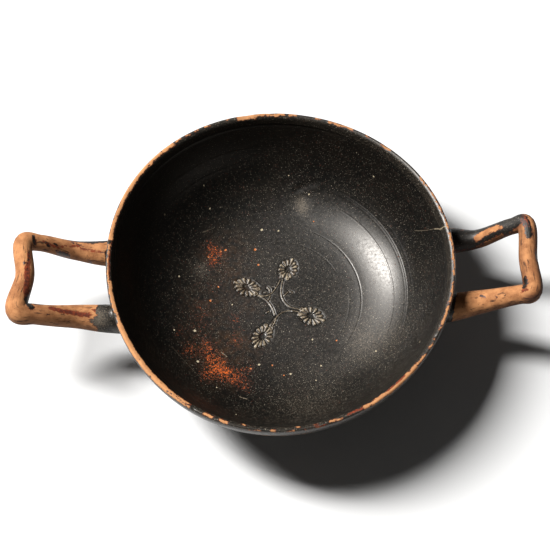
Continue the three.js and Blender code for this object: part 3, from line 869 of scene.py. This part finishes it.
def gloss_material():
    """Black gloss on fired clay: a fine iron-rich slip that sintered to a thin half-shiny film.

    The film is near black and mirrors softly; dust and lime have settled in it as pale grains.
    Where it is thin it shows red-brown, and where it has flaked the orange clay is matt. Painted
    shade darkens the clay under and beside the handles and on the lip towards +X."""
    material = bpy.data.materials.new("black_gloss_slip_on_fired_clay")
    material.use_nodes = True
    tree = material.node_tree
    tree.nodes.clear()
    new = partial(add, tree)

    # Places in millimetres; bowl is the same from the bowl's own axis
    place = new("ShaderNodeTexCoord", out="Object")
    place = new(VECTOR, [place, (1000, 1000, 1000)], **TIMES)
    bowl = new(VECTOR, [place, (*AXIS, 0)], **MINUS)
    flat = new(VECTOR, [bowl, (1, 1, 0)], **TIMES)
    worked = new(FIELD, out="Vector", attribute_name="streaks")
    bare, wash, rust, umber, dust, stamped, handle, painted_shade = (
        new(FIELD, out="Fac", attribute_name=name) for name in FIELDS)

    # Noises, each named for the size of its patches in millimetres
    n14 = new(NOISE, dict(Vector=place, Scale=1 / 14, Detail=3.0))
    n4 = new(NOISE, dict(Vector=place, Scale=1 / 3.6, Detail=4.0))
    n2 = new(NOISE, dict(Vector=place, Scale=1 / 2.2, Detail=4.0))
    n1 = new(NOISE, dict(Vector=place, Scale=1 / 1.2, Detail=5.0, Roughness=0.65))
    n05 = new(NOISE, dict(Vector=place, Scale=1 / 0.5, Detail=3.0, Roughness=0.6))
    streak = new(NOISE, dict(Vector=worked, Scale=1 / 0.9, Detail=3.0, Roughness=0.6))
    wide_streak = new(NOISE, dict(Vector=worked, Scale=1 / 2.4, Detail=2.0))

    # How far each worn edge wanders, in millimetres either side
    ragged = new(MATH, [n1, 1.9, -0.95], **TIMES_PLUS)
    ragged = new(MATH, [n05, 0.8, ragged], **TIMES_PLUS)
    ragged = new(MATH, [ragged, 0.4], **MINUS)
    edge = new(MATH, [bare, ragged], **PLUS)
    clay_mask = new(RANGE, [edge, -0.04, 0.08], **SOFT)
    fringe = new(RANGE, [edge, -0.3, -0.05, 0.0, 0.7], **SOFT)
    wash_mask = new(RANGE, [new(MATH, [wash, ragged], **PLUS), -0.1, 0.35], **SOFT)

    # Rust: a web of bright grains over the brown
    swirl = new(NOISE, dict(Vector=place, Scale=1 / 1.7, Detail=2.0, Distortion=1.2))
    vein = new(MATH, [new(MATH, [swirl, 0.5], **MINUS)], operation="ABSOLUTE")
    web = new(RANGE, [vein, 0.0, 0.075, 0.34, 0.0], **SOFT)
    for what, amount in ((n1, 0.5), (rust, 0.27), (n05, 0.9)):
        web = new(MATH, [what, amount, web], **TIMES_PLUS)
    rust_mask = new(RANGE, [web, 1.08, 1.22], **SOFT)
    iron = new(MIX, dict(Factor=new(RANGE, [web, 1.2, 1.4], **SOFT),
                         A=colour("#361305"), B=colour("#b44f08")), **COLOURS)

    scratched = scratch_marks(new, flat, n1)

    # Coats over the film, in the order they lie: wheel streaks, a haze of settled dust, brown thin
    # places, lime and dust grains about 0.3 mm wide, a scoured look where dust is thick, rust,
    # the raised parts of the stamp worn to a pale grey-brown, scratches, and thin worn edges
    cloud = new(MATH, [dust, 0.5, n2], **TIMES_PLUS)
    coats = [(new(RANGE, [streak, 0.5, 0.75, 0.0, 0.4], **SOFT), colour("#1a1611")),
             (new(RANGE, [cloud, 0.45, 1.0, 0.0, 0.32], **SOFT), colour("#2c261f"))]
    brown = new(MATH, [umber, new(RANGE, [n2, 0.3, 0.75], **SOFT)], **TIMES)
    coats.append((brown, colour("#33200f")))
    for pitch, reach, share, strength in ((1.1, 0.19, 0.6, 1.0), (0.55, 0.26, 0.38, 0.6)):
        gap = new(CELLS, dict(Vector=place, Scale=1 / pitch))
        chance = new(CELLS, dict(Vector=place, Scale=1 / pitch), out=1)
        grain = new(RANGE, [gap, reach * 0.5, reach, 1.0, 0.0], **SOFT)
        picked = new(MATH, [dust, 0.6, chance], **TIMES_PLUS)
        picked = new(RANGE, [picked, share, share + 0.5, 0.0, strength])
        coats.append((new(MATH, [grain, picked], **TIMES), colour("#9b9180")))
    scoured = new(MATH, [dust, 0.42, n05], **TIMES_PLUS)
    coats.append((new(RANGE, [scoured, 0.72, 0.98, 0.0, 0.75], **SOFT), colour("#5a5145")))
    high = new(MATH, [n05, 0.5, stamped], **TIMES_PLUS)
    bone = new(MIX, dict(Factor=new(RANGE, [n1, 0.42, 0.66], **SOFT),
                         A=colour("#57493a"), B=colour("#a4957c")), **COLOURS)
    thin = new(MIX, dict(Factor=new(RANGE, [n1, 0.35, 0.7], **SOFT),
                         A=colour("#441505"), B=colour("#7a300f")), **COLOURS)
    coats += [(rust_mask, iron), (new(RANGE, [high, 0.45, 1.1, 0.0, 0.75], **SOFT), bone),
              (scratched, colour("#8d7f69")), (fringe, thin)]
    film = new(MIX, dict(Factor=new(RANGE, [n14, 0.35, 0.7], **SOFT),
                         A=colour("#080807"), B=colour("#0f0d0a")), **COLOURS)
    for share, shade in coats:
        film = new(MIX, dict(Factor=share, A=film, B=shade), **COLOURS)

    # Fired clay in two tones, under fine grain, browner clouds, the paler fresh clay of the lip,
    # painted shade under the rods and on their sides away from the lamp, dark lines along the finger
    # streaks that grow in the painted shade, and dark flecks
    fresh = new(RANGE, [handle, 0.0, 1.0, 0.5, 0.0])
    # painted shade: the clay darkened towards #3f1d0c wherever the painted shade field is
    painted_shade_share = new(MATH, [painted_shade, new(RANGE, [n2, 0.25, 0.7, 0.6, 1.0])], **TIMES)
    # dark lines along the finger streaks, more of them where the painted shade is
    dark_streaks = new(MATH, [painted_shade, 0.1, streak], **TIMES_PLUS)
    dark_streaks = new(RANGE, [dark_streaks, 0.57, 0.69, 0.0, 0.9], **SOFT)
    dark_streaks = new(MATH, [dark_streaks, handle], **TIMES)
    clay = new(MIX, dict(Factor=new(RANGE, [n4, 0.32, 0.68], **SOFT),
                         A=colour("#84532f"), B=colour("#ab7549")), **COLOURS)
    for share, shade in ((new(RANGE, [n05, 0.4, 0.75, 0.0, 0.35], **SOFT), "#b78152"),
                         (new(RANGE, [n14, 0.5, 0.75, 0.0, 0.4], **SOFT), "#6d3d20"),
                         (fresh, "#c48d5c"), (painted_shade_share, "#3f1d0c"), (dark_streaks, "#30160a"),
                         (new(RANGE, [n1, 0.65, 0.68, 0.0, 0.95], **SOFT), "#1a0f08")):
        clay = new(MIX, dict(Factor=share, A=clay, B=colour(shade)), **COLOURS)

    # Pits through the film, their outlines shaken by a fine noise
    wobble = new(NOISE, dict(Vector=place, Scale=1.6, Detail=1.0), "Color")
    shaken = new(VECTOR, [wobble, (PIT_SHAKE,) * 3, bowl], **TIMES_PLUS)
    orange, pale = (pit_marks(new, shaken, places) for places in (ORANGE_PITS, PALE_PITS))

    # Clay where the film is gone, with remains of thin slip on it, and the pits
    rubbed = new(MATH, [wash_mask, handle], **TIMES)
    rubbed = new(MATH, [rubbed, new(RANGE, [n1, 0.4, 0.65], **SOFT)], **TIMES)
    worn = new(MIX, dict(Factor=wash_mask, A=clay, B=thin), **COLOURS)
    skin = film
    for share, shade in ((clay_mask, worn), (rubbed, thin), (orange, colour("#a8602f")),
                         (pale, colour("#a09379"))):
        skin = new(MIX, dict(Factor=share, A=skin, B=shade), **COLOURS)

    # The film is half shiny, less so under dust and on the handles; all that is bare is matt
    gloss_rough = new(MATH, [dust, 0.35, n1], **TIMES_PLUS)
    gloss_rough = new(RANGE, [gloss_rough, 0.3, 0.95, 0.29, 0.46], **SOFT)
    gloss_rough = new(MATH, [handle, 0.14, gloss_rough], **TIMES_PLUS)
    matt = new(MATH, [dust, handle], **TIMES)
    for share in (clay_mask, pale, rust_mask):
        matt = new(MATH, [matt, share], **MOST)
    rough = new(RANGE, [matt, 0.0, 1.0, gloss_rough, 0.85])

    # Relief: the film's own thickness at its edges, clay grain, finger streaks, pits and lines
    relief = tool_marks(new, worked)
    for what, height in (
            (clay_mask, -0.5),
            (new(MATH, [n05, n1], **PLUS), new(RANGE, [clay_mask, 0.0, 1.0, 0.05, 0.95])),
            (streak, new(RANGE, [handle, 0.0, 1.0, 0.1, 1.2])),
            (wide_streak, new(RANGE, [handle, 0.0, 1.0, 0.1, 2.2])),
            (new(MATH, [orange, pale], **MOST), -0.8), (scratched, -0.5)):
        relief = new(MATH, [what, height, relief], **TIMES_PLUS)
    normal = new("ShaderNodeBump", dict(Strength=1.0, Distance=0.00012, Height=relief))
    shader = new("ShaderNodeBsdfPrincipled", {"Base Color": skin, "Roughness": rough, "IOR": 1.46,
                                              "Specular Tint": (1.0, 0.95, 0.89, 1.0),
                                              "Normal": normal})
    new("ShaderNodeOutputMaterial", [shader])
    return material


def floor_material():
    """Matt white painted board, faintly uneven in tone."""
    material = bpy.data.materials.new("matt_white_painted_board")
    material.use_nodes = True
    tree = material.node_tree
    tree.nodes.clear()
    place = add(tree, "ShaderNodeTexCoord", out="Object")
    mottle = add(tree, NOISE, dict(Vector=place, Scale=3.0, Detail=2.0))
    paint = add(tree, MIX, dict(Factor=mottle, A=colour("#c7c7c6"), B=colour("#cccbca")), **COLOURS)
    shader = add(tree, "ShaderNodeBsdfPrincipled", {"Base Color": paint, "Roughness": 0.9})
    add(tree, "ShaderNodeOutputMaterial", [shader])
    return material


# ---- the piece ----
cup = joined_cup()
add_fields(cup.data)
co = positions(cup.data)
co[:, 0] += AXIS[0]
co[:, 1] += AXIS[1]
cup.data.vertices.foreach_set("co", (co * MM).astype(np.float32).ravel())
cup.data.update()
cup.data.polygons.foreach_set("use_smooth", np.ones(len(cup.data.polygons), bool))
cup.data.materials.clear()
cup.data.materials.append(gloss_material())
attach(cup, "root")
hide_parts("kylix")

# ---- floor, light and camera ----
FLOOR_RADIUS = 3.2
turn = np.linspace(0, 2 * np.pi, 97)[:-1]
edge = FLOOR_RADIUS * np.stack([np.cos(turn), np.sin(turn), 0 * turn], 1)
board = bpy.data.meshes.new("pale_floor")
board.from_pydata(edge.tolist(), [], [range(len(edge))])
board.materials.append(floor_material())
floor = bpy.data.objects.new("pale_floor", board)
floor.location = (0, 0, -0.00002)  # just clear of the foot
bpy.context.scene.collection.objects.link(floor)

LIGHT_FROM = Vector((-33.5, 14.2, 48.2)).normalized()
LIGHT_DISTANCE = 3.0
target = Vector((AXIS[0] * MM, AXIS[1] * MM, 0.02))
lamp = bpy.data.lights.new("softbox", "AREA")
lamp.shape = "RECTANGLE"
lamp.size, lamp.size_y = 0.54, 1.25
lamp.energy = 232.0
lamp_object = bpy.data.objects.new("softbox", lamp)
lamp_object.location = target + LIGHT_FROM * LIGHT_DISTANCE
lamp_object.rotation_mode = "QUATERNION"
lamp_object.rotation_quaternion = (-LIGHT_FROM).to_track_quat("-Z", "Y")
bpy.context.scene.collection.objects.link(lamp_object)

world = bpy.data.worlds.new("studio")
world.use_nodes = True
tree = world.node_tree
tree.nodes.clear()
direction = add(tree, "ShaderNodeTexCoord", out="Generated")
height = add(tree, "ShaderNodeSeparateXYZ", [direction], "Z")
glow = add(tree, RANGE, [height, 0.0, 0.22, 0.35, 0.04])
background = add(tree, "ShaderNodeBackground", dict(Color=glow, Strength=1.0))
add(tree, "ShaderNodeOutputWorld", [background])
bpy.context.scene.world = world
bpy.context.scene.view_settings.view_transform = "Standard"

CAMERA_AZIMUTH, CAMERA_ELEVATION, CAMERA_DISTANCE = -2.3, 65.5, 0.95
AIM_RIGHT, AIM_UP = -0.00197, -0.00406
a, e = math.radians(CAMERA_AZIMUTH), math.radians(CAMERA_ELEVATION)
back = Vector((math.sin(a) * math.cos(e), -math.cos(a) * math.cos(e), math.sin(e)))
right = Vector((math.cos(a), math.sin(a), 0))
up = back.cross(right)
lens = bpy.data.cameras.new("camera")
lens.lens, lens.sensor_width = 145.5, 36.0
lens.clip_start, lens.clip_end = 0.05, 20
camera = bpy.data.objects.new("camera", lens)
camera.location = (Vector((AXIS[0], AXIS[1], HEIGHT)) * MM + back * CAMERA_DISTANCE
                   + right * AIM_RIGHT + up * AIM_UP)
camera.rotation_mode = "QUATERNION"
camera.rotation_quaternion = (-back).to_track_quat("-Z", "Y")
bpy.context.scene.collection.objects.link(camera)
bpy.context.scene.camera = camera
